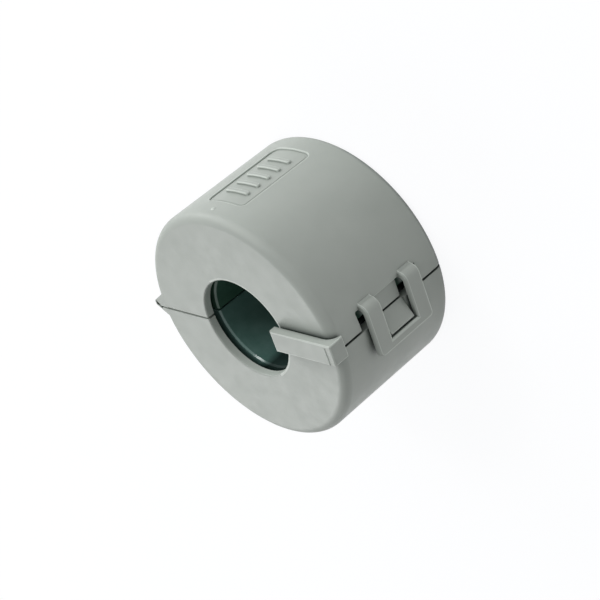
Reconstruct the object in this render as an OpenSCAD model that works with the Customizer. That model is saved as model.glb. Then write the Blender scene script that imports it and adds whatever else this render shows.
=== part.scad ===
// Snap-on ferrite bead: two half cores in a hinged plastic case that latches round a cable.
// Frame: Z along the cable, X from the hinge to the latch, Y across the split.
// The origin is the centre of the cable bore. Sizes are in millimetres.

/* [Case] */
// Outer diameter of the closed case
case_d = 30; // [28:0.5:40]
// Length of the case along the cable
case_len = 18.2; // [17:0.2:36]
// Thickness of the round wall
side_wall = 1.4; // [1.4:0.1:2]
// Thickness of the two end walls
end_wall = 1; // [0.7:0.1:1.5]
// Rounding of the outer edges of the case
edge_r = 1.2; // [0.5:0.1:1.2]
// Rounding of the rim of the cable hole
rim_r = 0.3; // [0.3:0.05:0.9]
// Gap between the closed halves of the case
split_gap = 0.2; // [0.1:0.05:0.3]

/* [Cores] */
// Diameter of the bore through the two cores
bore_d = 12.8; // [8:0.2:15]
// Broken edge round each end of the bore
bore_edge = 0.2; // [0.2:0.05:0.8]
// Radius by which the hole in the end walls is larger than the bore
hole_step = 0.05; // [0.05:0.05:0.5]
// Clearance between a core and the round wall
core_gap = 0.1; // [0.05:0.05:0.3]
// Height of the ring on each end wall that a core seats on
seat_h = 0.7; // [0.2:0.1:1]
// Distance of that ring from the wall of the bore
seat_in = 2.5; // [1:0.1:4]
// Clearance between a core and each of its two rings
core_end_gap = 0.1; // [0.05:0.05:0.3]
// Chamfer along the outer edges of a core's mating face
core_chamfer = 0.7; // [0.5:0.1:1.2]
// Length of each nub that holds a core in its shell
nub_len = 3.2; // [2:0.2:3.2]

/* [Guard bar] */
// Height of the bar above the end of the case
bar_h = 1.3; // [0.8:0.1:2]
// Reach of the bar over the cover, above the split
bar_up = 1.8; // [1:0.1:2.5]
// Reach of the bar over the base, below the split
bar_down = 0.85; // [0.5:0.05:2]
// Overhang of the bar's tip past the edge of the cable hole
bar_tip = 0.45; // [0:0.05:1.2]
// Thickness of the bar's corner block outside the case
block_t = 0.6; // [0.4:0.1:1]
// Depth of the corner block past the end of the case
block_wrap = 0.9; // [0.4:0.1:1.2]
// Running clearance between the bar and the cover
bar_gap = 0.3; // [0.1:0.05:0.4]
// Width of the groove across the bar's front
bar_groove_w = 0.3; // [0.2:0.1:0.5]
// Depth of the groove across the bar's front
bar_groove_d = 0.15; // [0.1:0.05:0.5]
// Thickness of the bar between the groove and the outer face of the block
bar_groove_in = 0.5; // [0.4:0.05:1.2]
// Distance of the groove's upper end below the top of the bar
bar_groove_top = 0.4; // [0.2:0.1:0.8]

/* [Latch] */
// Position of the middle of the latch along the cable
latch_z = -0.2; // [-2:0.1:2]
// Gap between the round of the case and the latch frame
arm_gap = 0.25; // [0.15:0.05:0.6]
// Thickness of the latch frame
arm_t = 0.7; // [0.5:0.05:0.8]
// Width over the two latch arms
latch_w = 9; // [8:0.1:12]
// Width of the window between the arms
window_w = 4.4; // [3.8:0.1:5]
// Height of the arm roots above the split
root_y = 2.6; // [2.4:0.05:3]
// Clearance between an arm root and its seat in the cover
root_gap = 0.03; // [0.02:0.01:0.05]
// Depth of the crossbar's top edge below the split
crossbar_top = 2.75; // [2.5:0.05:4]
// Height of the crossbar
crossbar_h = 1.15; // [0.8:0.05:2]
// Rounding of the frame's lower corners
frame_r = 0.6; // [0.3:0.1:0.8]
// Clearance between the catch and the crossbar below it
catch_gap = 0.3; // [0.15:0.05:0.5]
// Clearance between the catch and the arms on each side of it
catch_side_gap = 0.25; // [0.1:0.05:0.4]
// Reach of the catch's tip past the round of the case
catch_out = 0.7; // [0.5:0.05:0.9]
// Depth of the pocket in the cover between the arms
pocket_d = 0.5; // [0.3:0.05:0.8]
// Height of the pocket above the split
pocket_h = 2.5; // [1.5:0.05:2.5]
// Width of the slots under the arms past the arms on each side
slot_side = 0.5; // [0.2:0.05:0.8]

/* [Hinge] */
// Reach of the hinge past the round of the case
hinge_out = 0.9; // [0.7:0.05:1.5]
// Thickness of the hinge strap
strap_t = 0.2; // [0.15:0.05:0.3]
// Height of the cover's lug tip above the split
tip_y = 0.75; // [0.6:0.05:1.2]
// Height of the bend in the strap above the split
bend_y = 0.15; // [0:0.05:0.3]
// Slope of the strap's leg and of the base's lug, in degrees
leg_slope = 34; // [20:1:40]
// Slope of the top of the cover's lug, in degrees
lug_slope = 33; // [20:1:45]
// Slope of the underside of the cover's lug, in degrees
under_slope = 45; // [35:1:60]
// Reach of the base's lug past the round of the case
foot_out = 0.05; // [0.05:0.05:0.4]

/* [Top panel] */
// Length of the panel along the cable
panel_len = 11.4; // [6:0.2:14]
// Width of the panel round the case
panel_w = 6; // [4:0.2:8]
// Corner radius of the panel
panel_r = 0.9; // [0.3:0.1:1.5]
// Depth of the panel below the round of the case
panel_d = 0.2; // [0.1:0.05:0.4]
// Number of plain grip ribs on the panel
rib_count = 5; // [3:1:7]
// Width of each grip rib
rib_w = 0.6; // [0.4:0.1:0.8]
// Length of each grip rib round the case
rib_len = 3.6; // [2:0.2:3.8]
// Height of the grip ribs above the panel's floor
rib_h = 0.3; // [0.1:0.05:0.4]
// Distance between neighbouring grip ribs
rib_pitch = 1.7; // [1:0.1:1.9]
// Diameter of the moulding dot in front of the panel
dot_d = 0.6; // [0.4:0.1:1]
// Height of the moulding dot
dot_h = 0.12; // [0.05:0.01:0.3]
// Distance of the moulding dot from the front end of the case
dot_in = 1.8; // [1.6:0.1:2.5]

/* [Hidden] */
$fn = 96;

PLASTIC = [0.68, 0.70, 0.67];
FERRITE = [0.13, 0.17, 0.16];

case_r = case_d / 2;
half_len = case_len / 2;
inner_r = case_r - side_wall;
bore_r = bore_d / 2;
hole_r = bore_r + hole_step;
split_y = split_gap / 2;
join_x = (inner_r + case_r - edge_r) / 2;          // plane inside the round wall where outer pieces start
bite = side_wall / 4;                              // how far a raised piece is sunk in its wall
cut = 1;                                           // how far a cut runs past what it cuts
past = case_d;                                     // reach of a cut that runs out of the case

cavity_len = case_len - 2 * end_wall;
seat_len = cavity_len - 2 * seat_h;
seat_r = bore_r + seat_in;
core_r = inner_r - core_gap;
core_len = seat_len - 2 * core_end_gap;

bar_x = hole_r - bar_tip;
block_x = case_r + block_t;
bar_z = half_len + bar_h;

frame_x = case_r + arm_gap;                        // inner face of the latch frame
root_r = arm_t / 2;
root_x = sqrt(pow(case_r, 2) - pow(root_y, 2));
bend_r = frame_x + root_r - root_x;                // mid radius of the bend above each arm
frame_low = -(crossbar_top + crossbar_h);
catch_w = window_w - 2 * catch_side_gap;
catch_y = -(crossbar_top - catch_gap);
pocket_x = case_r - pocket_d;
slot_from = catch_w / 2;
slot_to = latch_w / 2 + slot_side;

strap_x = -(case_r + hinge_out);
foot_x = -(case_r + foot_out);

// Section of the closed case: outer edges and rims of the cable hole rounded
module case_section() {
    straight_h = case_len - 2 * edge_r;
    rim_h = case_len - 2 * rim_r;
    difference() {
        union() {
            translate([hole_r + rim_r, -half_len])
                square([case_r - edge_r - hole_r - rim_r, case_len]);
            translate([hole_r + rim_r, -straight_h / 2])
                square([case_r - hole_r - rim_r, straight_h]);
            translate([hole_r, -rim_h / 2])
                square([2 * rim_r, rim_h]);
            for (end = [-1, 1]) {
                translate([case_r - edge_r, end * straight_h / 2])
                    circle(r = edge_r);
                translate([hole_r + rim_r, end * rim_h / 2])
                    circle(r = rim_r);
            }
        }
        translate([0, -cavity_len / 2])
            square([seat_r, cavity_len]);
        translate([0, -seat_len / 2])
            square([inner_r, seat_len]);
    }
}

// Half space on one side of the split: side is 1 for the cover and -1 for the base
module half_space(side, gap) {
    translate([-past, side > 0 ? gap : -gap - past, -past])
        cube([2 * past, past, 2 * past]);
}

module half_case(side) {
    intersection() {
        rotate_extrude()
            case_section();
        half_space(side, split_y);
    }
}

// Mirrors its child into one of the four quarters round the cable
module to_quarter(side_x, side_y) {
    mirror([side_x > 0 ? 0 : 1, 0, 0])
        mirror([0, side_y > 0 ? 0 : 1, 0])
            children();
}

// One nub at each side of the split holds the core by the chamfer of its mating face
module core_nubs(side) {
    nub = core_chamfer - 2 * core_gap;
    for (end = [-1, 1])
        to_quarter(end, side)
            translate([0, 0, latch_z - nub_len / 2])
                linear_extrude(nub_len)
                    polygon([
                        [inner_r + bite, split_y],
                        [inner_r - nub + split_y, split_y],
                        [inner_r, nub],
                        [inner_r + bite, nub],
                    ]);
}

module half_core(side) {
    straight_h = core_len - 2 * bore_edge;
    intersection() {
        difference() {
            rotate_extrude()
                polygon([
                    [bore_r, -straight_h / 2],
                    [bore_r + bore_edge, -core_len / 2],
                    [core_r, -core_len / 2],
                    [core_r, core_len / 2],
                    [bore_r + bore_edge, core_len / 2],
                    [bore_r, straight_h / 2],
                ]);
            for (end = [-1, 1])
                to_quarter(end, side)
                    full_length()
                        polygon([
                            [core_r - 2 * core_chamfer, -core_chamfer],
                            [core_r + core_chamfer, -core_chamfer],
                            [core_r + core_chamfer, 2 * core_chamfer],
                        ]);
        }
        half_space(side, 0);
    }
}

// Section of the guard bar and its corner block in the plane of X and Z
module bar_section() {
    translate([bar_x, half_len])
        square([block_x - bar_x, bar_h]);
    translate([join_x, half_len - block_wrap])
        square([block_x - join_x, block_wrap + bar_h]);
}

// The outline of the case grown by a clearance, in the plane of X and Z
module case_outline(gap) {
    square([case_r - edge_r, half_len + gap]);
    square([case_r + gap, half_len - edge_r]);
    translate([case_r - edge_r, half_len - edge_r])
        circle(r = edge_r + gap);
}

module along_y(from_y, to_y) {
    translate([0, to_y, 0])
        rotate([90, 0, 0])
            linear_extrude(to_y - from_y)
                children();
}

module guard_bar() {
    groove_x = block_x - bar_groove_in - bar_groove_w;
    difference() {
        union() {
            along_y(-bar_down, -split_y)
                bar_section();
            along_y(-split_y, bar_up)
                difference() {
                    bar_section();
                    case_outline(bar_gap);
                }
        }
        translate([groove_x, -2 * bar_down, bar_z - bar_groove_d])
            cube([bar_groove_w, 2 * bar_down + bar_up - bar_groove_top, bar_h]);
    }
}

// The catch is a ramp that ends in a flat ledge for the crossbar
module catch_ramp() {
    translate([0, 0, latch_z - catch_w / 2])
        linear_extrude(catch_w)
            polygon([
                [inner_r + bite, -split_y],
                [pocket_x, -split_y],
                [case_r + catch_out, catch_y],
                [inner_r + bite, catch_y],
            ]);
}

module above_catch() {
    translate([0, 0, latch_z - catch_w / 2])
        linear_extrude(catch_w)
            polygon([
                [pocket_x, split_y],
                [pocket_x, -split_y],
                [case_r + catch_out, catch_y],
                [case_r + catch_out, split_y],
            ]);
}

// Height of the lower face of the strap's leg at a given place
function leg_low(x) = bend_y - (x - strap_x) * tan(leg_slope);

// Height of the upper face of the strap's leg at a given place
function leg_top(x) = leg_low(x) + strap_t / cos(leg_slope);

module full_length() {
    translate([0, 0, -half_len])
        linear_extrude(case_len)
            children();
}

// The base's lug carries the foot of the strap and is flush with both ends of the case
module base_lug() {
    full_length()
        polygon([
            [foot_x, -split_y],
            [foot_x, leg_low(foot_x)],
            [-join_x, leg_low(-join_x)],
            [-join_x, -split_y],
        ]);
}

// The cover's lug overhangs the strap and carries its upper end
module cover_lug() {
    inner_x = strap_x + strap_t;
    full_length()
        polygon([
            [strap_x, tip_y],
            [inner_x, tip_y],
            [inner_x + (tip_y - split_y) / tan(under_slope), split_y],
            [-join_x, split_y],
            [-join_x, tip_y + (-join_x - strap_x) * tan(lug_slope)],
        ]);
}

module base_shell() {
    color(PLASTIC) {
        difference() {
            half_case(-1);
            above_catch();
        }
        catch_ramp();
        core_nubs(-1);
        guard_bar();
        base_lug();
    }
}

module panel_outline() {
    flat_l = panel_len - 2 * panel_r;
    flat_w = panel_w - 2 * panel_r;
    square([panel_w, flat_l], center = true);
    square([flat_w, panel_len], center = true);
    for (x = [-1, 1], z = [-1, 1])
        translate([x * flat_w / 2, z * flat_l / 2])
            circle(r = panel_r);
}

// A sleeve between two radii round the cable, cut to its child's outline seen from above
module on_top(from_r, to_r) {
    intersection() {
        difference() {
            cylinder(r = to_r, h = case_len, center = true);
            cylinder(r = from_r, h = case_len + cut, center = true);
        }
        translate([0, case_r + cut, 0])
            rotate([90, 0, 0])
                linear_extrude(case_r)
                    children();
    }
}

module grip_ribs() {
    on_top(case_r - panel_d - bite, case_r - panel_d + rib_h)
        for (n = [0 : rib_count - 1])
            translate([0, (n - (rib_count - 1) / 2) * rib_pitch])
                square([rib_len, rib_w], center = true);
}

module moulding_dot() {
    on_top(case_r - bite, case_r + dot_h)
        translate([0, half_len - dot_in])
            circle(d = dot_d);
}

// Seats for the two arm roots
module root_seats() {
    seat_w = latch_w + 2 * root_gap;
    window_in = window_w - 2 * root_gap;
    difference() {
        translate([root_x, root_y, latch_z - seat_w / 2])
            cylinder(r = root_r + root_gap, h = seat_w);
        translate([0, 0, latch_z - window_in / 2])
            cube([past, past, window_in]);
    }
}

// A shallow pocket between the arms, with a slot through the wall under each arm
module latch_pocket() {
    translate([pocket_x, -cut, latch_z - slot_to])
        cube([case_r, pocket_h + cut, 2 * slot_to]);
    for (side = [-1, 1])
        translate([inner_r / 2, -cut, latch_z + (side > 0 ? slot_from : -slot_to)])
            cube([case_r, pocket_h + cut, slot_to - slot_from]);
}

module cover_shell() {
    color(PLASTIC) {
        difference() {
            half_case(1);
            latch_pocket();
            root_seats();
            on_top(case_r - panel_d, case_r + cut)
                panel_outline();
        }
        grip_ribs();
        moulding_dot();
        core_nubs(1);
        cover_lug();
    }
}

module base_core() {
    color(FERRITE)
        half_core(-1);
}

module cover_core() {
    color(FERRITE)
        half_core(1);
}

// The strap hangs from the cover's lug, bends and runs down its leg to the base's lug
module hinge_strap() {
    inner_x = strap_x + strap_t;
    color(PLASTIC)
        full_length()
            polygon([
                [strap_x, tip_y],
                [strap_x, bend_y],
                [foot_x, leg_low(foot_x)],
                [foot_x, leg_top(foot_x)],
                [inner_x, leg_top(inner_x)],
                [inner_x, tip_y],
            ]);
}

// Section of an arm: a straight band below a quarter bend that ends in a rounded root
module arm_section() {
    bend_low = root_y - bend_r;
    translate([frame_x, frame_low])
        square([arm_t, bend_low - frame_low]);
    intersection() {
        translate([root_x, bend_low])
            difference() {
                circle(r = bend_r + root_r);
                circle(r = bend_r - root_r);
            }
        translate([root_x, bend_low])
            square([case_r, case_r]);
    }
    translate([root_x, root_y])
        circle(r = root_r);
}

// Outline of the frame seen from the latch side, in the plane of Y and Z
module frame_outline() {
    flat_w = latch_w - 2 * frame_r;
    translate([frame_low + frame_r, -latch_w / 2])
        square([case_r, latch_w]);
    translate([frame_low, -flat_w / 2])
        square([case_r, flat_w]);
    for (side = [-1, 1])
        translate([frame_low + frame_r, side * flat_w / 2])
            circle(r = frame_r);
}

module latch_frame() {
    color(PLASTIC)
        translate([0, 0, latch_z])
            difference() {
                intersection() {
                    translate([0, 0, -latch_w / 2])
                        linear_extrude(latch_w)
                            arm_section();
                    rotate([90, 0, 90])
                        linear_extrude(2 * case_r)
                            frame_outline();
                }
                translate([0, -crossbar_top, -window_w / 2])
                    cube([2 * case_r, case_r, window_w]);
            }
}

base_shell();
base_core();
hinge_strap();
cover_shell();
cover_core();
latch_frame();
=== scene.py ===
import bpy
import math
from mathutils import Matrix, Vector


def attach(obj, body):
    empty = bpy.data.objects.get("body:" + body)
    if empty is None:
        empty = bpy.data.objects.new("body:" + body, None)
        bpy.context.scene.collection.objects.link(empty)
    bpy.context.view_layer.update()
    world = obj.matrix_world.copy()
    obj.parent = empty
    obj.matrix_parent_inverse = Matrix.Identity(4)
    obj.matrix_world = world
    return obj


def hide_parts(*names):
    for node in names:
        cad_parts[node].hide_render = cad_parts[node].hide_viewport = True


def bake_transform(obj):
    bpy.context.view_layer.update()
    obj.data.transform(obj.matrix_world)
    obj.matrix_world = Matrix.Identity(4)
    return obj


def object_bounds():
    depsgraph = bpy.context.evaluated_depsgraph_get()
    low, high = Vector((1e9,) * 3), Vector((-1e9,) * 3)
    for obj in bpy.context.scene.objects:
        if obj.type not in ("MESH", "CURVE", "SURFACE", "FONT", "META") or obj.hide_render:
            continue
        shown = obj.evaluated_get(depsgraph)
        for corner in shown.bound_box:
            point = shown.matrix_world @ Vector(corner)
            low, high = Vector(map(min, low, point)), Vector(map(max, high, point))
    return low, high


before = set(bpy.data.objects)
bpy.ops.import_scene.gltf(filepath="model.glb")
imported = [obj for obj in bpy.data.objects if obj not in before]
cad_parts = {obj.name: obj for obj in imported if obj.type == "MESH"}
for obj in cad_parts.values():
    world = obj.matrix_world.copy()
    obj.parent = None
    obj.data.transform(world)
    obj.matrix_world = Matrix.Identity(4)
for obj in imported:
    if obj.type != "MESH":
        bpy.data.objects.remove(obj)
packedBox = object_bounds()
print("frame loaded:", len(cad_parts), "nodes")

# Pieces are modelled in millimetres and brought down to metres when they are finished.
toMetre = 0.001
weld = 0.0005               # points closer than this are one
near = 0.0001               # how close a point has to be to count as the one meant

bead = {
    "caseR": 15.0,          # outside of the closed case
    "halfLen": 9.1,
    "cornerR": 1.2,         # rounding of the outer edges
    "holeR": 6.45,          # cable hole in the end walls
    "rimR": 0.2,            # rounding of the rim of the cable hole
    "innerR": 13.6,         # inside of the round wall
    "cavity": 8.1,          # inner face of the end walls
    "seat": 7.4,            # face of the ring that a core seats on
    "seatR": 8.9,           # opening in that ring
    "splitY": 0.1,          # half of the gap between the two halves
    "joinX": 13.7,          # plane inside the wall where outer pieces start
    "latchZ": -0.2,         # middle of the latch along the bore
    "turns": 96,            # steps of the round wall in each half
    "past": 18.0,           # well outside the case, where the cutters end
}


def addCamera():
    view = {
        "place": (0.158940, 0.106229, 0.114668),
        "turn": (-46.9385, 41.5983, -24.0040),      # degrees
        "lens": 115.605,
        "sensor": 36.0,
        "nearest": 0.005,
        "farthest": 20.0,
    }
    bpy.ops.object.camera_add(location=view["place"], rotation=[math.radians(a) for a in view["turn"]])
    camera = bpy.context.object
    camera.name = "beadCamera"
    camera.data.lens = view["lens"]
    camera.data.sensor_width = view["sensor"]
    camera.data.clip_start = view["nearest"]
    camera.data.clip_end = view["farthest"]
    bpy.context.scene.camera = camera
    print("camera placed")


def deselectAll():
    if bpy.context.mode != "OBJECT":
        bpy.ops.object.mode_set(mode="OBJECT")
    bpy.ops.object.select_all(action="DESELECT")


def pick(obj):
    deselectAll()
    obj.select_set(True)
    bpy.context.view_layer.objects.active = obj


def editAll(obj):
    pick(obj)
    bpy.ops.object.mode_set(mode="EDIT")
    bpy.ops.mesh.select_all(action="SELECT")


def faceOutwards():     # the mesh in edit mode, which it then leaves
    bpy.ops.mesh.select_all(action="SELECT")
    bpy.ops.mesh.normals_make_consistent(inside=False)
    bpy.ops.object.mode_set(mode="OBJECT")


def outlineFace(name, points):      # a flat face with its corners on the given points
    deselectAll()
    bpy.ops.mesh.primitive_circle_add(vertices=len(points), radius=1.0, fill_type="NGON")
    obj = bpy.context.object
    obj.name = name
    obj.data.name = name
    for vert, point in zip(obj.data.vertices, points):
        vert.co = point
    for finish in caseFinish:
        obj.data.materials.append(finish)
    return obj


def selectParts(obj, mode, wanted):     # wanted gets the place of a vertex, or both ends of an edge
    pick(obj)
    mesh = obj.data
    for part in (mesh.vertices, mesh.edges, mesh.polygons):
        for item in part:
            item.select = False
    bpy.context.tool_settings.mesh_select_mode = (mode == "VERT", mode == "EDGE", False)
    spots = [vert.co.copy() for vert in mesh.vertices]
    if mode == "VERT":
        for vert, spot in zip(mesh.vertices, spots):
            vert.select = bool(wanted(spot))
    else:
        for edge in mesh.edges:
            a, b = (spots[i] for i in edge.vertices)
            edge.select = bool(wanted(a, b))
    bpy.ops.object.mode_set(mode="EDIT")


def roundCorners(obj, places, radius, steps):       # rounds the outline's corners that stand at the places
    selectParts(obj, "VERT", lambda co: any((co - Vector(place)).length < near for place in places))
    bpy.ops.mesh.bevel(offset=radius, offset_type="OFFSET", segments=steps, profile=0.5, affect="VERTICES")
    bpy.ops.object.mode_set(mode="OBJECT")


def extrudeAll(obj, travel):
    editAll(obj)
    bpy.ops.mesh.extrude_region_move(TRANSFORM_OT_translate={"value": travel})
    faceOutwards()


def prism(name, points, travel):
    obj = outlineFace(name, points)
    extrudeAll(obj, travel)
    return obj


def block(name, low, high):
    x0, y0, z0 = low
    x1, y1, z1 = high
    return prism(name, [(x0, y0, z0), (x1, y0, z0), (x1, y1, z0), (x0, y1, z0)], (0, 0, z1 - z0))


def roundBar(radius):       # along the bore, to trim what follows the round of the case
    deselectAll()
    bpy.ops.mesh.primitive_cylinder_add(vertices=2 * bead["turns"], radius=radius, depth=2 * bead["past"])
    return bpy.context.object


def turnHalf(obj, side):        # spins an outline into a half ring; side 1 is the cover, -1 the base
    editAll(obj)
    bpy.ops.mesh.spin(steps=bead["turns"], angle=-side * math.pi, center=(0, 0, 0), axis=(0, 0, 1))
    bpy.ops.mesh.select_all(action="SELECT")
    bpy.ops.mesh.remove_doubles(threshold=weld)
    faceOutwards()


def copyAlong(obj, travel):     # a copy with its own mesh, moved along the bore
    pick(obj)
    bpy.ops.object.duplicate(linked=False)
    bpy.ops.transform.translate(value=(0, 0, travel))
    bpy.ops.object.transform_apply(location=True, rotation=False, scale=False)
    return bpy.context.object


def combine(obj, tool, how):
    for part in (obj, tool):        # parting faces are kept exactly level, so that they meet cleanly
        for vert in part.data.vertices:
            if abs(abs(vert.co.y) - bead["splitY"]) < near:
                vert.co.y = math.copysign(bead["splitY"], vert.co.y)
    pick(obj)
    bpy.ops.object.modifier_add(type="BOOLEAN")
    change = obj.modifiers[-1]
    change.operation = how
    change.solver = "EXACT"
    change.object = tool
    bpy.ops.object.modifier_apply(modifier=change.name)
    bpy.data.objects.remove(tool)


def softenEdges(obj, width, steps, wanted, finish=1):       # rounds the sharp edges that wanted picks; the new faces take finish 1 by default, the paler copy that paints a highlight
    least = 25.0        # degrees between the two faces of a sharp edge
    normals = {}
    for face in obj.data.polygons:
        for key in face.edge_keys:
            normals.setdefault(key, []).append(face.normal.copy())
    spots = [vert.co.copy() for vert in obj.data.vertices]
    sharp = set()
    for key, pair in normals.items():
        if len(pair) == 2 and math.degrees(pair[0].angle(pair[1], 0.0)) > least:
            a, b = spots[key[0]], spots[key[1]]
            sharp.add((tuple(a), tuple(b)))
            sharp.add((tuple(b), tuple(a)))
    selectParts(obj, "EDGE", lambda a, b: (tuple(a), tuple(b)) in sharp and wanted(a, b))
    bpy.ops.mesh.bevel(offset=width, offset_type="OFFSET", segments=steps, profile=0.5, affect="EDGES",
                       clamp_overlap=False, material=finish)
    bpy.ops.object.mode_set(mode="OBJECT")


def finishPiece(obj):       # welds, shades smooth and brings down to metres
    smooth = {"angle": 32.0, "weight": 90}
    editAll(obj)
    bpy.ops.mesh.remove_doubles(threshold=weld)
    faceOutwards()
    bpy.ops.object.shade_smooth_by_angle(angle=math.radians(smooth["angle"]))
    bpy.ops.object.modifier_add(type="WEIGHTED_NORMAL")
    change = obj.modifiers[-1]
    change.keep_sharp = True
    change.weight = smooth["weight"]
    bpy.ops.object.modifier_apply(modifier=change.name)
    obj.scale = (toMetre, toMetre, toMetre)
    bpy.ops.object.transform_apply(location=False, rotation=False, scale=True)
    print(obj.name, "finished:", len(obj.data.polygons), "faces")
    return obj


def newMaterial(name):
    material = bpy.data.materials.new(name)
    material.use_nodes = True
    tree = material.node_tree
    shader = tree.nodes["Principled BSDF"]
    spot = tree.nodes.new("ShaderNodeTexCoord")
    return material, tree, shader, spot


def noiseNode(tree, spot, scale, detail, roughness=0.5):
    noise = tree.nodes.new("ShaderNodeTexNoise")
    noise.inputs["Scale"].default_value = scale
    noise.inputs["Detail"].default_value = detail
    noise.inputs["Roughness"].default_value = roughness
    tree.links.new(spot, noise.inputs["Vector"])
    return noise.outputs["Fac"]


def rampNode(tree, source, low, high):      # low and high are each a place on the ramp and a colour
    ramp = tree.nodes.new("ShaderNodeValToRGB")
    for stop, (place, shade) in zip(ramp.color_ramp.elements, (low, high)):
        stop.position = place
        stop.color = shade
    tree.links.new(source, ramp.inputs["Fac"])
    return ramp.outputs["Color"]


def rangeNode(tree, source, fromLow, fromHigh, toLow, toHigh):
    node = tree.nodes.new("ShaderNodeMapRange")
    node.inputs["From Min"].default_value = fromLow
    node.inputs["From Max"].default_value = fromHigh
    node.inputs["To Min"].default_value = toLow
    node.inputs["To Max"].default_value = toHigh
    tree.links.new(source, node.inputs["Value"])
    return node.outputs["Result"]


def mathNode(tree, operation, *sources):
    node = tree.nodes.new("ShaderNodeMath")
    node.operation = operation
    for source, socket in zip(sources, node.inputs):
        tree.links.new(source, socket)
    return node.outputs[0]


def bumpNode(tree, height, strength, distance, before=None):
    node = tree.nodes.new("ShaderNodeBump")
    node.inputs["Strength"].default_value = strength
    node.inputs["Distance"].default_value = distance
    tree.links.new(height, node.inputs["Height"])
    if before:
        tree.links.new(before, node.inputs["Normal"])
    return node.outputs["Normal"]


def cornerNode(tree, reach, tight, loose):      # 0 in gaps and tight corners, 1 in the open
    corner = tree.nodes.new("ShaderNodeAmbientOcclusion")
    corner.samples = 8
    corner.inputs["Distance"].default_value = reach
    return rangeNode(tree, corner.outputs["AO"], tight, loose, 0.0, 1.0)


# paints shade: mixes towards the shade colour where share is low
def shadeMixNode(tree, share, shadeColour, unshaded):
    mix = tree.nodes.new("ShaderNodeMixRGB")
    mix.inputs["Color1"].default_value = shadeColour
    tree.links.new(share, mix.inputs["Fac"])
    tree.links.new(unshaded, mix.inputs["Color2"])
    return mix.outputs["Color"]


def mouldedPlastic(name, lift, rough, tight, loose):        # light grey, from a finely eroded mould
    finish = {
        "dark": (0.400, 0.434, 0.402),
        "light": (0.433, 0.468, 0.434),
        "shadeColour": (0.030, 0.046, 0.038, 1),
        "cloud": (160.0, 4.0),              # scale and detail of each noise
        "sheen": (700.0, 3.0),
        "grain": (9000.0, 2.0),
        "reach": 0.0012,                    # metres from a wall at which the painted shade starts
        "parting": (0.0001005, 0.000103),   # parting faces get no painted shade up to this height
        "latchSide": (0.0133, 0.0134),      # but not those under the latch
        "panel": (0.0138, 0.0140),          # the panel gets less painted shade
        "panelUnshaded": 0.8,
        "roughSpan": 0.10,
        "specular": 0.42,
        "grainBump": (0.35, 0.00003),
        "cloudBump": (0.18, 0.00012),
    }
    material, tree, shader, coords = newMaterial(name)
    spot = coords.outputs["Object"]
    cloud = noiseNode(tree, spot, *finish["cloud"])
    dark, light = ([lift * part for part in finish[shade]] + [1] for shade in ("dark", "light"))
    tint = rampNode(tree, cloud, (0.3, dark), (0.7, light))
    # painted shade: the colour darkens towards a dark colour in gaps, recesses and tight corners, found by
    # occlusion
    corner = cornerNode(tree, finish["reach"], tight, loose)
    place = tree.nodes.new("ShaderNodeSeparateXYZ")
    tree.links.new(spot, place.inputs["Vector"])
    height = mathNode(tree, "ABSOLUTE", place.outputs["Y"])
    parting = rangeNode(tree, height, *finish["parting"], 1.0, 0.0)
    away = rangeNode(tree, place.outputs["X"], *finish["latchSide"], 1.0, 0.0)
    kept = mathNode(tree, "MINIMUM", parting, away)
    panelUnshaded = rangeNode(tree, place.outputs["Y"], *finish["panel"], 0.0, finish["panelUnshaded"])
    unshaded = mathNode(tree, "MAXIMUM", mathNode(tree, "MAXIMUM", corner, kept), panelUnshaded)
    tree.links.new(shadeMixNode(tree, unshaded, finish["shadeColour"], tint), shader.inputs["Base Color"])
    shader.inputs["Specular IOR Level"].default_value = finish["specular"]
    sheen = noiseNode(tree, spot, *finish["sheen"])
    gloss = rangeNode(tree, sheen, 0.3, 0.7, rough, rough + finish["roughSpan"])
    tree.links.new(gloss, shader.inputs["Roughness"])
    grain = noiseNode(tree, spot, *finish["grain"])
    fine = bumpNode(tree, grain, *finish["grainBump"])
    tree.links.new(bumpNode(tree, cloud, *finish["cloudBump"], fine), shader.inputs["Normal"])
    return material


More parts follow.
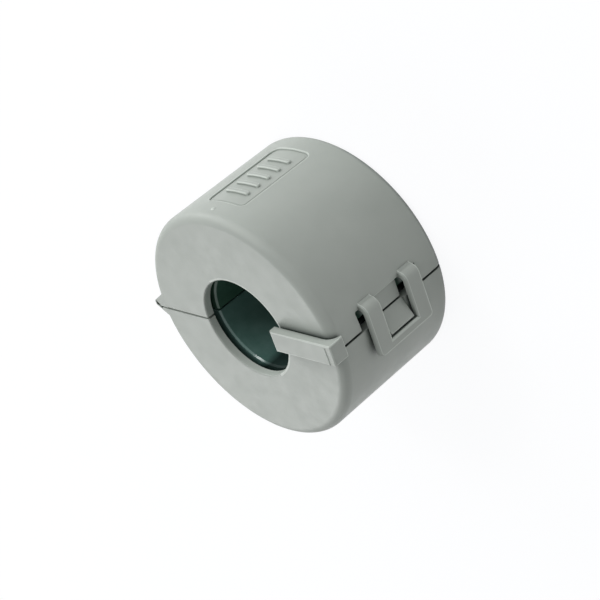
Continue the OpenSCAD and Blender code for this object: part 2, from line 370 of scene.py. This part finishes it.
def pressedFerrite(name, light, dark, low):     # sintered core, dark with a green cast
    finish = {
        "shadeColour": (0.004, 0.009, 0.008, 1),
        "cloud": (420.0, 6.0, 0.6),         # scale, detail and roughness of each noise
        "speck": (7000.0, 3.0, 0.6),
        "reach": 0.0008,
        "corner": (0.35, 0.85),
        "bottom": (0.5, -0.87, 0),          # towards the bottom of the bore, darker by low: a painted shade, with the reflection dulled there too
        "bottomAt": (0.0045, 0.0053),
        "rough": (0.15, 0.22),
        "specular": 0.5,
        "ior": 1.5,
        "bump": (0.12, 0.00001),
    }
    material, tree, shader, coords = newMaterial(name)
    spot = coords.outputs["Object"]
    cloud = noiseNode(tree, spot, *finish["cloud"])
    tint = rampNode(tree, cloud, (0.32, dark), (0.7, light))
    # painted shade: the core darkens towards the bottom of the bore, and its reflection is dulled there
    if low < 1:
        across = tree.nodes.new("ShaderNodeVectorMath")
        across.operation = "DOT_PRODUCT"
        across.inputs[1].default_value = finish["bottom"]
        tree.links.new(spot, across.inputs[0])
        shade = rangeNode(tree, across.outputs["Value"], *finish["bottomAt"], 1.0, low)
        level = finish["specular"]
        dull = rangeNode(tree, across.outputs["Value"], *finish["bottomAt"], level, level * low)
        tree.links.new(dull, shader.inputs["Specular IOR Level"])
        tone = tree.nodes.new("ShaderNodeMixRGB")
        tone.blend_type = "MULTIPLY"
        tone.inputs["Fac"].default_value = 1.0
        tree.links.new(tint, tone.inputs["Color1"])
        tree.links.new(shade, tone.inputs["Color2"])
        tint = tone.outputs["Color"]
    # painted shade: the core darkens in gaps and corners, found by occlusion, such as the joint between the
    # cores
    corner = cornerNode(tree, finish["reach"], *finish["corner"])
    tree.links.new(shadeMixNode(tree, corner, finish["shadeColour"], tint), shader.inputs["Base Color"])
    speck = noiseNode(tree, spot, *finish["speck"])
    tree.links.new(rangeNode(tree, speck, 0.3, 0.7, *finish["rough"]), shader.inputs["Roughness"])
    tree.links.new(bumpNode(tree, speck, *finish["bump"]), shader.inputs["Normal"])
    shader.inputs["IOR"].default_value = finish["ior"]
    return material


def groundFerrite():        # the mating faces, ground flat along the bore
    finish = {
        "dark": (0.048, 0.074, 0.065, 1),
        "light": (0.066, 0.096, 0.086, 1),
        "lines": (9000.0, 600.0, 260.0),    # lines to the metre, across and along
        "rough": (0.18, 0.30),
        "bump": (0.25, 0.00002),
    }
    material, tree, shader, coords = newMaterial("groundFerrite")
    stretch = tree.nodes.new("ShaderNodeMapping")
    stretch.inputs["Scale"].default_value = finish["lines"]
    tree.links.new(coords.outputs["Object"], stretch.inputs["Vector"])
    lines = noiseNode(tree, stretch.outputs["Vector"], 1.0, 3.0)
    tint = rampNode(tree, lines, (0.35, finish["dark"]), (0.65, finish["light"]))
    tree.links.new(tint, shader.inputs["Base Color"])
    tree.links.new(rangeNode(tree, lines, 0.3, 0.7, *finish["rough"]), shader.inputs["Roughness"])
    tree.links.new(bumpNode(tree, lines, *finish["bump"]), shader.inputs["Normal"])
    return material


def halfRing(name, side):       # one half of the case, without what stands on it
    c = bead
    ring = {
        "plain": 0.13,              # flat strip round the rim of the hole
        "edge": 0.08,
        "highlightSide": (0.87, 0.5),      # the rim is painted paler on this side, a painted highlight
    }
    margin = c["holeR"] + c["rimR"] + ring["plain"]
    inside = [(c["holeR"], c["cavity"]), (c["seatR"], c["cavity"]), (c["seatR"], c["seat"]),
              (c["innerR"], c["seat"]), (c["innerR"], -c["seat"]), (c["seatR"], -c["seat"]),
              (c["seatR"], -c["cavity"]), (c["holeR"], -c["cavity"])]
    outside = [(c["holeR"], -c["halfLen"]), (margin, -c["halfLen"]), (c["caseR"], -c["halfLen"]),
               (c["caseR"], c["halfLen"]), (margin, c["halfLen"]), (c["holeR"], c["halfLen"])]
    corners = [(r, 0, z) for r, z in outside + inside]
    shell = outlineFace(name, corners)
    roundCorners(shell, [corners[2], corners[3]], c["cornerR"], 9)
    roundCorners(shell, [corners[0], corners[5]], c["rimR"], 4)
    turnHalf(shell, side)
    editAll(shell)
    bpy.ops.mesh.bisect(plane_co=(0, side * c["splitY"], 0), plane_no=(0, side, 0), use_fill=True,
                        clear_inner=True, clear_outer=False)
    faceOutwards()

    def onSplit(spot):      # outer edges of the parting faces
        wide = abs(spot.x) > c["joinX"] or abs(spot.x) < c["holeR"] + 0.01
        return abs(abs(spot.y) - c["splitY"]) < 0.001 and (wide or abs(spot.z) > c["cavity"] + 0.05)

    softenEdges(shell, ring["edge"], 2, lambda a, b: onSplit(a) and onSplit(b), finish=0)
    for face in shell.data.polygons:        # wall of the cable hole and one side of its rim take the paler finish: painted light on the wall, a painted highlight on the rim
        spot, turn = face.center, face.normal
        inward = -(turn.x * spot.x + turn.y * spot.y) / spot.xy.length
        highlightSide = ring["highlightSide"][0] * spot.x + ring["highlightSide"][1] * spot.y > 0
        if spot.xy.length < margin and (inward > 0.98 or highlightSide) and abs(spot.y) > c["splitY"] + 0.05:
            face.material_index = 1
    print(name, "turned:", len(shell.data.polygons), "faces")
    return shell


def addNubs(shell, side):       # the small wedges that hold a core by its chamfer
    nub = {"size": 0.5, "long": 3.2, "sunk": 0.35}
    c = bead
    z = c["latchZ"] - nub["long"] / 2
    foot, top = side * c["splitY"], side * nub["size"]
    for end in (-1, 1):
        root, tip = end * (c["innerR"] + nub["sunk"]), end * (c["innerR"] - nub["size"] + c["splitY"])
        tool = prism("nub", [(root, foot, z), (tip, foot, z), (end * c["innerR"], top, z), (root, top, z)],
                     (0, 0, nub["long"]))
        combine(shell, tool, "UNION")


def addLug(shell):      # the cover's side of the hinge
    c = bead
    lug = {"tipX": -15.9, "wide": 0.2, "tipY": 0.75, "under": 45.0, "slope": 33.0,      # slopes in degrees
           "edge": 0.14, "edgeX": -15.0}
    z, tipX, tipY, rootX = -c["halfLen"], lug["tipX"], lug["tipY"], -c["joinX"]
    innerX = tipX + lug["wide"]
    footX = innerX + (tipY - c["splitY"]) / math.tan(math.radians(lug["under"]))
    rootY = tipY + (rootX - tipX) * math.tan(math.radians(lug["slope"]))
    tool = prism("lug", [(tipX, tipY, z), (innerX, tipY, z), (footX, c["splitY"], z),
                         (rootX, c["splitY"], z), (rootX, rootY, z)], (0, 0, 2 * c["halfLen"]))
    softenEdges(tool, lug["edge"], 3, lambda a, b: max(a.x, b.x) < lug["edgeX"])
    combine(shell, tool, "UNION")


def cutLatchPocket(shell):      # room behind the latch, open to the inside under each arm
    c = bead
    step = {"x": 14.4, "y": 0.19}       # the gap is a little wider outside, on the latch side
    pocket = {"floorX": 14.5, "up": 2.5, "long": 10.0, "edge": 0.2}
    slot = {"fromX": 6.8, "from": 1.95, "to": 5.0, "shift": 0.16, "edge": 0.25}
    rim = {"edge": 0.08, "fromX": 14.0, "fromY": 0.12, "halfZ": 6.0}
    far, z = c["past"], c["latchZ"]
    combine(shell, block("step", (step["x"], -far, -far), (far, step["y"], far)), "DIFFERENCE")

    def atTop(a, b):
        return min(a.y, b.y) > pocket["up"] - 0.1

    tool = block("pocket", (pocket["floorX"], -far, z - pocket["long"] / 2),
                 (far, pocket["up"], z + pocket["long"] / 2))
    softenEdges(tool, pocket["edge"], 3, lambda a, b: atTop(a, b)
                and max(a.x, b.x) < pocket["floorX"] + 0.1)
    combine(shell, tool, "DIFFERENCE")

    middle = z + slot["shift"]
    tool = block("slot", (slot["fromX"], -far, middle - slot["to"]),
                 (far, pocket["up"], middle - slot["from"]))
    softenEdges(tool, slot["edge"], 3, lambda a, b: atTop(a, b) and abs(a.x - b.x) > 1)
    other = copyAlong(tool, slot["from"] + slot["to"])
    combine(shell, tool, "DIFFERENCE")
    combine(shell, other, "DIFFERENCE")

    def onRim(spot):
        onRound = abs(math.hypot(spot.x, spot.y) - c["caseR"]) < 0.03
        return onRound and spot.x > rim["fromX"] and spot.y > rim["fromY"] and abs(spot.z) < rim["halfZ"]

    softenEdges(shell, rim["edge"], 2, lambda a, b: onRim(a) and onRim(b))


def plate(name, wide, long, corner, blank):     # with rounded corners, between the two heights of a blank
    w, l, y = wide / 2, long / 2, blank[0]
    corners = [(-w, y, -l), (w, y, -l), (w, y, l), (-w, y, l)]
    tool = outlineFace(name, corners)
    roundCorners(tool, corners, corner, 6)
    extrudeAll(tool, (0, blank[1] - y, 0))
    return tool


def addGripPanel(shell):        # sunk panel, with a fine groove round its floor
    c = bead
    panel = {"wide": 6.0, "long": 11.4, "corner": 0.9, "deep": 0.2, "border": 0.35, "groove": 0.03,
             "edge": 0.17}
    ribs = {"count": 5, "pitch": 1.7, "wide": 0.6, "long": 3.6, "high": 0.3, "corner": 0.22, "edge": 0.15}
    blank = (14.0, 16.0)        # heights that the panel's pieces are cut from
    floorR, border = c["caseR"] - panel["deep"], panel["border"]
    tool = plate("panel", panel["wide"], panel["long"], panel["corner"], blank)
    combine(tool, roundBar(floorR - panel["groove"]), "DIFFERENCE")
    combine(shell, tool, "DIFFERENCE")

    def onTop(spot):
        onRound = abs(math.hypot(spot.x, spot.y) - c["caseR"]) < 0.01
        return onRound and abs(spot.x) < panel["wide"] / 2 + 1 and abs(spot.z) < panel["long"] / 2 + 0.8

    softenEdges(shell, panel["edge"], 4, lambda a, b: onTop(a) and onTop(b))
    tool = plate("panelFloor", panel["wide"] - 2 * border, panel["long"] - 2 * border,
                 panel["corner"] - border, blank)
    combine(tool, roundBar(floorR), "INTERSECT")
    combine(shell, tool, "UNION")

    first = (1 - ribs["count"]) / 2 * ribs["pitch"]
    rib = block("rib", (-ribs["long"] / 2, blank[0], first - ribs["wide"] / 2),
                (ribs["long"] / 2, blank[1], first + ribs["wide"] / 2))
    softenEdges(rib, ribs["corner"], 3, lambda a, b: abs(a.y - b.y) > 1)
    combine(rib, roundBar(floorR + ribs["high"]), "INTERSECT")
    softenEdges(rib, ribs["edge"], 3, lambda a, b: min(a.y, b.y) > floorR - 0.1)
    for n in range(ribs["count"]):
        combine(shell, copyAlong(rib, n * ribs["pitch"]), "UNION")
    bpy.data.objects.remove(rib)
    print("panel and", ribs["count"], "ribs added")


def addDot(shell):      # low dome left by the mould
    dot = {"ball": 0.435, "high": 0.12, "z": 7.3}
    deselectAll()
    bpy.ops.mesh.primitive_uv_sphere_add(segments=32, ring_count=24, radius=dot["ball"],
                                         location=(0, bead["caseR"] + dot["high"] - dot["ball"], dot["z"]))
    tool = bpy.context.object
    bpy.ops.object.transform_apply(location=True, rotation=True, scale=False)
    for finish in caseFinish:
        tool.data.materials.append(finish)
    # the whole dome takes the paler finish, a painted highlight
    for face in tool.data.polygons:
        face.material_index = 1
    combine(shell, tool, "UNION")


def coverCase():
    shell = halfRing("coverCase", 1)
    addLug(shell)
    cutLatchPocket(shell)
    addGripPanel(shell)
    addDot(shell)
    addNubs(shell, 1)
    return finishPiece(shell)


def addFoot(shell):     # the base's side of the hinge
    c = bead
    foot = {"x": -15.05, "slope": 34.0, "bendX": -15.9, "bendY": 0.15, "eased": 0.18}
    z, split = -c["halfLen"], -c["splitY"]

    def slopeY(x):
        return foot["bendY"] - (x - foot["bendX"]) * math.tan(math.radians(foot["slope"]))

    tool = prism("foot", [(foot["x"] + foot["eased"], split, z), (foot["x"], split - foot["eased"], z),
                          (foot["x"], slopeY(foot["x"]), z), (-c["joinX"], slopeY(-c["joinX"]), z),
                          (-c["joinX"], split, z)], (0, 0, 2 * c["halfLen"]))
    combine(shell, tool, "UNION")


def addCatch(shell):        # the ramp that the latch snaps over, and the flat behind it
    c = bead
    catch = {"tipX": 15.7, "tipY": -2.45, "wide": 3.9, "pocketX": 14.5, "sunk": 0.35, "edge": 0.12,
             "edgeX": 15.4}
    z, far, split = c["latchZ"] - catch["wide"] / 2, c["past"], -c["splitY"]
    ramp = [(catch["pocketX"], split, z), (catch["tipX"], catch["tipY"], z)]
    over = prism("overCatch", [(catch["pocketX"], 1, z)] + ramp + [(far, catch["tipY"], z), (far, 1, z)],
                 (0, 0, catch["wide"]))
    combine(shell, over, "DIFFERENCE")
    inX = c["innerR"] + catch["sunk"]
    tool = prism("catch", [(inX, split, z)] + ramp + [(inX, catch["tipY"], z)], (0, 0, catch["wide"]))
    softenEdges(tool, catch["edge"], 3, lambda a, b: max(a.x, b.x) > catch["edgeX"])
    combine(shell, tool, "UNION")


def addGuardBar(shell):     # bar across the front end, with its corner block
    c = bead
    bar = {"fromX": 6.0, "outX": 15.6, "top": 10.4, "low": 8.2, "down": -0.85, "up": 1.8, "sunk": 0.6,
           "gap": 0.3, "endEdge": 0.3, "edge": 0.17}
    groove = {"x": 14.7, "wide": 0.45, "deep": 0.1, "short": 0.4, "edge": 0.12}
    z, y, gap = c["halfLen"] - bar["sunk"], bar["down"], bar["gap"]
    tool = prism("guardBar", [(bar["fromX"], y, z), (c["joinX"], y, z), (c["joinX"], y, bar["low"]),
                              (bar["outX"], y, bar["low"]), (bar["outX"], y, bar["top"]),
                              (bar["fromX"], y, bar["top"])], (0, bar["up"] - bar["down"], 0))
    split, grownR, grownEnd = -c["splitY"], c["caseR"] + gap, c["halfLen"] + gap
    corners = [(0, split, 0), (grownR, split, 0), (grownR, split, grownEnd), (0, split, grownEnd)]
    over = outlineFace("overCover", corners)
    roundCorners(over, [corners[2]], c["cornerR"] + gap, 8)
    extrudeAll(over, (0, c["past"], 0))
    combine(tool, over, "DIFFERENCE")

    def onTop(a, b):
        return min(a.z, b.z) > bar["top"] - 0.01

    def inGroove(spot):
        return groove["x"] - 0.01 < spot.x < groove["x"] + groove["wide"] + 0.01

    softenEdges(tool, bar["endEdge"], 4, lambda a, b: onTop(a, b) and max(a.x, b.x) < bar["fromX"] + 0.01)
    softenEdges(tool, bar["edge"], 3, lambda a, b: onTop(a, b) or min(a.x, b.x) > bar["outX"] - 0.01)
    cut = block("groove", (groove["x"], -c["past"], bar["top"] - groove["deep"]),
                (groove["x"] + groove["wide"], bar["up"] - groove["short"], c["past"]))
    combine(tool, cut, "DIFFERENCE")
    softenEdges(tool, groove["edge"], 3, lambda a, b: onTop(a, b) and inGroove(a) and inGroove(b))
    combine(shell, tool, "UNION")


def baseCase():
    shell = halfRing("baseCase", -1)
    addFoot(shell)
    addCatch(shell)
    addGuardBar(shell)
    addNubs(shell, -1)
    return finishPiece(shell)


def latchFrame():       # two arms that hang from the cover, and the crossbar between them
    c = bead
    latch = {
        "wide": 9.0,
        "inX": 15.25,
        "outX": 15.95,
        "low": -3.9,
        "corner": 0.6,
        "window": 4.4,
        "barTop": -2.75,        # upper edge of the crossbar
        "top": 2.95,
        "under": 2.25,
        "rootX": 14.35,
        "root": (14.72, 0.3, 0.04),     # a raised root that blends into the cover
        "rootR": 0.22,
        "bend": (14.773, 1.773),        # middle of the bend above each arm
        "bendOut": 1.17,
        "bendIn": 0.47,
        "archY": 1.9,                   # outer edges of the bend lie above this
        "archR": 1.0,                   # and further than this from its middle
        "edge": 0.26,
        "innerEdge": 0.10,
    }
    z, top, rootX = c["latchZ"] - latch["wide"] / 2, latch["top"], latch["rootX"]
    rootEnd, rise, lean = latch["root"]
    corners = [(rootX, top + rise, z), (rootEnd - lean, top + rise, z), (rootEnd, top, z),
               (latch["outX"], top, z), (latch["outX"], latch["low"], z), (latch["inX"], latch["low"], z),
               (latch["inX"], latch["under"], z), (rootX, latch["under"], z)]
    arm = outlineFace("latchFrame", corners)
    roundCorners(arm, [corners[2]], latch["rootR"], 4)
    roundCorners(arm, [corners[3]], latch["bendOut"], 10)
    roundCorners(arm, [corners[6]], latch["bendIn"], 8)
    extrudeAll(arm, (0, 0, latch["wide"]))
    half, far = latch["window"] / 2, c["past"]
    window = block("window", (0, latch["barTop"], c["latchZ"] - half), (far, far, c["latchZ"] + half))
    combine(arm, window, "DIFFERENCE")
    softenEdges(arm, latch["corner"], 5, lambda a, b: abs(a.x - b.x) > 0.5
                and max(a.y, b.y) < latch["low"] + 0.1)

    def outer(spot):
        away = math.hypot(spot.x - latch["bend"][0], spot.y - latch["bend"][1])
        return spot.x > latch["outX"] - 0.05 or (spot.y > latch["archY"] and away > latch["archR"])

    softenEdges(arm, latch["edge"], 4, lambda a, b: outer(a) and outer(b) and min(a.x, b.x) > rootX - 0.01)
    softenEdges(arm, latch["innerEdge"], 2, lambda a, b: not outer(a) and not outer(b)
                and max(a.x, b.x) < latch["inX"] + 0.05)
    for face in arm.data.polygons:      # the sides turned to the front keep the plain finish; the other softened edges carry the painted highlight
        if face.normal.z > 0.2:
            face.material_index = 0
    return finishPiece(arm)


def hingeStrap():       # thin strap that bends between the lug and the foot
    strap = {"thick": 0.16, "x": -15.9, "tipY": 0.75, "bendY": 0.15, "slope": 34.0, "footX": -15.05,
             "over": 0.05, "pitch": 0.11, "short": 0.02, "steps": 4}
    turn = {"r": 0.22, "steps": 5}
    slope = math.radians(strap["slope"])
    path = [(strap["x"], strap["tipY"] - strap["over"] - n * strap["pitch"]) for n in range(strap["steps"])]
    swing = math.pi / 2 - slope
    startY = strap["bendY"] + turn["r"] * math.tan(swing / 2)
    for n in range(turn["steps"] + 1):
        a = swing * n / turn["steps"]
        path.append((strap["x"] + turn["r"] * (1 - math.cos(a)), startY - turn["r"] * math.sin(a)))
    endX, endY = path[-1]
    run = (strap["footX"] + strap["over"] - endX) / strap["steps"]
    for n in range(1, strap["steps"] + 1):
        path.append((endX + run * n, endY - run * n * math.tan(slope)))
    z = bead["halfLen"] - strap["short"]
    deselectAll()
    bpy.ops.mesh.primitive_plane_add(size=1.0)
    obj = bpy.context.object
    obj.name = "hingeStrap"
    obj.data.materials.append(caseFinish[0])
    spots = [(x, y, end) for x, y in path[:2] for end in (-z, z)]
    for vert, spot in zip(obj.data.vertices, spots):
        vert.co = spot
    for (x0, y0), (x1, y1) in zip(path[1:], path[2:]):
        selectParts(obj, "EDGE", lambda a, b: all(abs(p.x - x0) < near and abs(p.y - y0) < near
                                                  for p in (a, b)))
        bpy.ops.mesh.extrude_region_move(TRANSFORM_OT_translate={"value": (x1 - x0, y1 - y0, 0)})
        bpy.ops.object.mode_set(mode="OBJECT")
    editAll(obj)
    faceOutwards()
    bpy.ops.object.modifier_add(type="SOLIDIFY")
    wall = obj.modifiers[-1]
    wall.thickness = strap["thick"]
    outward = obj.data.polygons[0].normal.x < 0
    wall.offset = -1 if outward else 1
    wall.use_even_offset = True
    bpy.ops.object.modifier_apply(modifier=wall.name)
    return finishPiece(obj)


def halfCore(name, side, pressed, ground):
    core = {"boreR": 6.4, "outR": 13.5, "half": 7.3, "boreEdge": 0.2, "outEdge": 0.25, "chamfer": 0.7,
            "edge": 0.22}
    bore, edge, out, half = core["boreR"], core["boreEdge"], core["outR"], core["half"]
    corners = [(bore, 0, -half + edge), (bore + edge, 0, -half), (out, 0, -half), (out, 0, half),
               (bore + edge, 0, half), (bore, 0, half - edge)]
    obj = outlineFace(name, corners)
    roundCorners(obj, [corners[2], corners[3]], core["outEdge"], 3)
    turnHalf(obj, side)
    k, far = core["chamfer"], bead["past"]
    for end in (-1, 1):
        tool = prism("chamfer", [(end * (out - 2 * k), -side * k, -far), (end * (out + k), -side * k, -far),
                                 (end * (out + k), side * 2 * k, -far)], (0, 0, 2 * far))
        combine(obj, tool, "DIFFERENCE")
    softenEdges(obj, core["edge"], 3, lambda a, b: max(abs(a.y), abs(b.y)) < 0.001)
    finishPiece(obj)
    obj.data.materials.clear()
    obj.data.materials.append(pressed)
    obj.data.materials.append(ground)
    for face in obj.data.polygons:
        flat = abs(face.center.y) < 0.000001 and abs(face.normal.y) > 0.99
        face.material_index = 1 if flat else 0
    return obj


def seenByEye(tree):        # 1 for camera, glossy and transmission rays
    path = tree.nodes.new("ShaderNodeLightPath")
    either = mathNode(tree, "MAXIMUM", path.outputs["Is Camera Ray"], path.outputs["Is Glossy Ray"])
    return mathNode(tree, "MAXIMUM", either, path.outputs["Is Transmission Ray"])


def mixNode(tree, share, first, second):
    mix = tree.nodes.new("ShaderNodeMixShader")
    if isinstance(share, float):
        mix.inputs["Fac"].default_value = share
    else:
        tree.links.new(share, mix.inputs["Fac"])
    tree.links.new(first, mix.inputs[1])
    tree.links.new(second, mix.inputs[2])
    return mix.outputs["Shader"]


def addStage(floorZ):
    studio = {
        "size": 4.0,
        "paper": (0.86, 0.86, 0.86, 1),
        "glow": (0.985, 0.99, 1.0, 1),
        "glowPower": 1.06,
        "glowShare": 0.88,              # the rest shows the floor's own shadows
        "light": (1, 1, 1, 1),
        "lightPower": 0.30,
        "backdrop": (0.99, 0.995, 1.0, 1),
    }
    bpy.ops.mesh.primitive_plane_add(size=studio["size"], location=(0, 0, floorZ))
    floor = bpy.context.object
    floor.name = "floor"
    material = bpy.data.materials.new("paleFloor")
    material.use_nodes = True
    tree = material.node_tree
    tree.nodes.remove(tree.nodes["Principled BSDF"])
    paper = tree.nodes.new("ShaderNodeBsdfDiffuse")
    paper.inputs["Color"].default_value = studio["paper"]
    glow = tree.nodes.new("ShaderNodeEmission")
    glow.inputs["Color"].default_value = studio["glow"]
    glow.inputs["Strength"].default_value = studio["glowPower"]
    seen = mixNode(tree, studio["glowShare"], paper.outputs["BSDF"], glow.outputs["Emission"])
    look = mixNode(tree, seenByEye(tree), paper.outputs["BSDF"], seen)
    tree.links.new(look, tree.nodes["Material Output"].inputs["Surface"])
    floor.data.materials.append(material)

    world = bpy.data.worlds.new("studio")
    bpy.context.scene.world = world
    world.use_nodes = True
    tree = world.node_tree
    dim = tree.nodes["Background"]
    dim.inputs["Color"].default_value = studio["light"]
    dim.inputs["Strength"].default_value = studio["lightPower"]
    white = tree.nodes.new("ShaderNodeBackground")
    white.inputs["Color"].default_value = studio["backdrop"]
    look = mixNode(tree, seenByEye(tree), dim.outputs["Background"], white.outputs["Background"])
    tree.links.new(look, tree.nodes["World Output"].inputs["Surface"])
    print("stage laid")


def addLamp(name, azimuth, elevation, power, size):
    distance = 0.45     # from the middle of the bead
    turn, up = math.radians(azimuth), math.radians(elevation)
    towards = Vector((math.cos(up) * math.cos(turn), math.cos(up) * math.sin(turn), math.sin(up)))
    aim = towards.to_track_quat("Z", "Y").to_euler()
    bpy.ops.object.light_add(type="AREA", location=towards * distance, rotation=aim)
    lamp = bpy.context.object
    lamp.name = name
    lamp.data.shape = "DISK"
    lamp.data.size = size
    lamp.data.energy = power


deselectAll()
addCamera()

# the first for the walls; the second is a paler copy for edges, a painted highlight. Both darken in gaps
# and corners, a painted shade.
caseFinish = [mouldedPlastic("mouldedGreyPlastic", lift=1.01, rough=0.40, tight=0.25, loose=0.88),
              mouldedPlastic("paintedHighlightEdge", lift=1.35, rough=0.34, tight=0.0, loose=0.30)]
# the base core has a lighter tone than the cover core: painted light and reflection on the lower half of
# the bore, painted shade on the upper half
coverFerrite = pressedFerrite("coverFerrite", light=(0.064, 0.142, 0.100, 1),
                              dark=(0.044, 0.108, 0.076, 1), low=1.0)
baseFerrite = pressedFerrite("baseFerrite", light=(0.132, 0.232, 0.210, 1),
                             dark=(0.088, 0.180, 0.158, 1), low=0.2)
groundFace = groundFerrite()
print("materials mixed")

cover = coverCase()
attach(cover, "cover")
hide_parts("cover_shell")

base = baseCase()
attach(base, "base")
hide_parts("base_shell")

arm = latchFrame()
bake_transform(arm)
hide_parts("latch_frame")

strap = hingeStrap()
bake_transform(strap)
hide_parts("hinge_strap")

coverCore = halfCore("coverCore", 1, coverFerrite, groundFace)
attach(coverCore, "cover")
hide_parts("cover_core")

baseCore = halfCore("baseCore", -1, baseFerrite, groundFace)
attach(baseCore, "base")
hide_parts("base_core")
print("pieces riding on their bodies")

addStage(packedBox[0][2])
lamps = {       # degrees round the bead and above the floor, watts, metres across
    "keyLamp": (135, 8, 0.86, 0.28),
    "topLamp": (90, 25, 0.45, 0.28),
    "leftLamp": (222, 36, 0.53, 0.28),
    "glintLamp": (113, 46, 0.38, 0.13),
    "fillLamp": (5, 30, 0.03, 0.28),
}
for lampName, setting in lamps.items():
    addLamp(lampName, *setting)
print("lamps placed")

bpy.context.scene.view_settings.view_transform = "Standard"

deselectAll()
